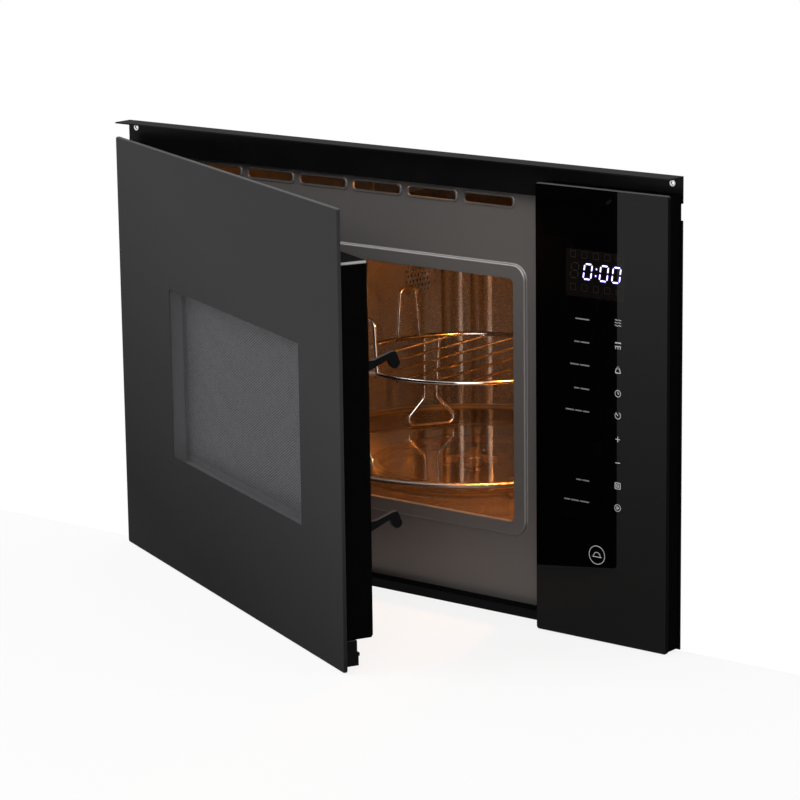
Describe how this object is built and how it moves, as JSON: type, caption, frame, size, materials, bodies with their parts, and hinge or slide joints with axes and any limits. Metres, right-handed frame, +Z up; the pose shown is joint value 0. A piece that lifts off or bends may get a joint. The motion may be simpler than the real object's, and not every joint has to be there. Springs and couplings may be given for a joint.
{
  "type": "built-in microwave oven",
  "caption": "Built-in microwave oven with a side-hinged glass door, touch control panel, glass turntable, wire grill rack and a cabinet that holds its works.",
  "frame": {"origin": "on the shelf, under the middle of the base plate", "axes": "+X to the control panel, +Y to the rear panel, +Z up; the door swings towards -Y"},
  "size_m": [0.5969, 0.5917, 0.391],
  "materials": {
    "black_steel": "satin black paint on folded steel",
    "bright_metal": "bright plated fixings",
    "grey_steel": "satin grey enamelled cavity front",
    "cavity_enamel": "smooth stainless cavity lining",
    "mica": "pressed mica sheet",
    "heater_sheath": "oxidised tube",
    "door_glass": "dark printed glass with a clear window",
    "panel_glass": "black printed glass",
    "black_plastic": "fine-grained moulding",
    "screen_steel": "perforated black screen",
    "clear_pane": "clear inner pane",
    "steel": "plain steel",
    "galvanised": "galvanised sheet",
    "turntable_glass": "clear pressed glass",
    "coupler_plastic": "natural heat-proof plastic",
    "chrome_wire": "bright plated wire",
    "display": "smoked display face",
    "circuit_board": "green solder mask",
    "bulb_glass": "warm clear bulb",
    "dark_metal": "varnished core",
    "copper_coil": "varnished windings",
    "can_metal": "drawn can",
    "white_plastic": "plain moulding"
  },
  "bodies": {
    "oven": {"trim_frame": "black_steel", "fixing_eyelets": "bright_metal", "front_plate": "grey_steel", "cavity_wrap": "cavity_enamel", "cavity_floor": "cavity_enamel", "cavity_back": "cavity_enamel", "waveguide_cover": "mica", "grill_heater": "heater_sheath", "heater_clips": "steel", "hinge_upper": "steel", "hinge_lower": "steel", "hinge_screws": "bright_metal", "interlock_bracket": "white_plastic", "interlock_switches": "black_plastic", "control_glass": "panel_glass", "control_housing": "black_plastic", "display_module": "display", "touch_sensor": "circuit_board", "control_board": "circuit_board", "turntable_motor": "can_metal", "lamp_holder": "steel", "lamp_bulb": "bulb_glass", "waveguide": "galvanised", "magnetron": "can_metal", "magnetron_thermostat": "black_plastic", "cavity_thermostat": "black_plastic", "transformer_core": "dark_metal", "transformer_coils": "copper_coil", "hv_capacitor": "can_metal", "capacitor_clamp": "steel", "hv_diode": "black_plastic", "fan_duct": "white_plastic", "fan_motor": "dark_metal", "line_filter": "circuit_board", "base_plate": "galvanised", "cabinet_cover": "galvanised", "rear_panel": "galvanised", "cord_gland": "black_plastic", "cover_screws": "bright_metal"},
    "door": {"door_glass": "door_glass", "door_frame": "black_plastic", "choke_panel": "screen_steel", "door_screen": "screen_steel", "inner_window": "clear_pane", "choke_cover": "black_plastic", "door_bottom_rail": "black_plastic", "latch_spring": "steel"},
    "latch": {"latch_slide": "black_plastic"},
    "turntable": {"turntable_plate": "turntable_glass", "drive_coupler": "coupler_plastic", "drive_shaft": "coupler_plastic"},
    "roller_ring": {"roller_ring": "coupler_plastic"},
    "roller_1": {"roller_1": "coupler_plastic"},
    "roller_2": {"roller_2": "coupler_plastic"},
    "roller_3": {"roller_3": "coupler_plastic"},
    "rack": {"grill_rack": "chrome_wire"},
    "fan": {"fan_blade": "white_plastic"},
    "plunger_1": {"switch_plunger_1": "white_plastic"},
    "plunger_2": {"switch_plunger_2": "white_plastic"},
    "plunger_3": {"switch_plunger_3": "white_plastic"}
  },
  "joints": [
    {"name": "door_swing", "type": "hinge", "parent": "oven", "child": "door", "pos_m": [-0.289, -0.198, 0.19], "axis": [0, 0, -1], "range_deg": [-25.2, 64.8]},
    {"name": "latch_lift", "type": "slide", "parent": "door", "child": "latch", "axis": [0, 0, 1], "range_m": [0, 0.006], "stiffness_N_per_m": 300, "springref_m": -0.003, "deforming": ["latch_spring"]},
    {"name": "turntable_spin", "type": "hinge", "parent": "oven", "child": "turntable", "pos_m": [-0.05, -0.0055, 0.0766], "axis": [0, 0, 1], "continuous": true},
    {"name": "roller_ring_spin", "type": "hinge", "parent": "oven", "child": "roller_ring", "pos_m": [-0.05, -0.0055, 0.0693], "axis": [0, 0, 1], "continuous": true},
    {"name": "rack_lift", "type": "slide", "parent": "turntable", "child": "rack", "axis": [0, 0, 1], "range_m": [0, 0.04]},
    {"name": "fan_spin", "type": "hinge", "parent": "oven", "child": "fan", "pos_m": [0.1998, 0.15, 0.285], "axis": [0, 1, 0], "continuous": true},
    {"name": "roller_1_spin", "type": "hinge", "parent": "roller_ring", "child": "roller_1", "pos_m": [-0.05, 0.0915, 0.0693], "axis": [0, 1, 0], "continuous": true},
    {"name": "roller_2_spin", "type": "hinge", "parent": "roller_ring", "child": "roller_2", "pos_m": [-0.134, -0.054, 0.0693], "axis": [-0.866, -0.5, 0], "continuous": true},
    {"name": "roller_3_spin", "type": "hinge", "parent": "roller_ring", "child": "roller_3", "pos_m": [0.034, -0.054, 0.0693], "axis": [0.866, -0.5, 0], "continuous": true},
    {"name": "switch_1_press", "type": "slide", "parent": "oven", "child": "plunger_1", "axis": [0, 1, 0], "range_m": [0, 0.0012], "stiffness_N_per_m": 200},
    {"name": "switch_2_press", "type": "slide", "parent": "oven", "child": "plunger_2", "axis": [0, 1, 0], "range_m": [0, 0.0012], "stiffness_N_per_m": 200},
    {"name": "switch_3_press", "type": "slide", "parent": "oven", "child": "plunger_3", "axis": [0, 1, 0], "range_m": [0, 0.0012], "stiffness_N_per_m": 200}
  ],
  "couplings": [
    {"joint": "roller_ring_spin", "follows": "turntable_spin", "ratio": 0.5},
    {"joint": "roller_1_spin", "follows": "turntable_spin", "ratio": -6.9286},
    {"joint": "roller_2_spin", "follows": "turntable_spin", "ratio": -6.9286},
    {"joint": "roller_3_spin", "follows": "turntable_spin", "ratio": -6.9286}
  ]
}
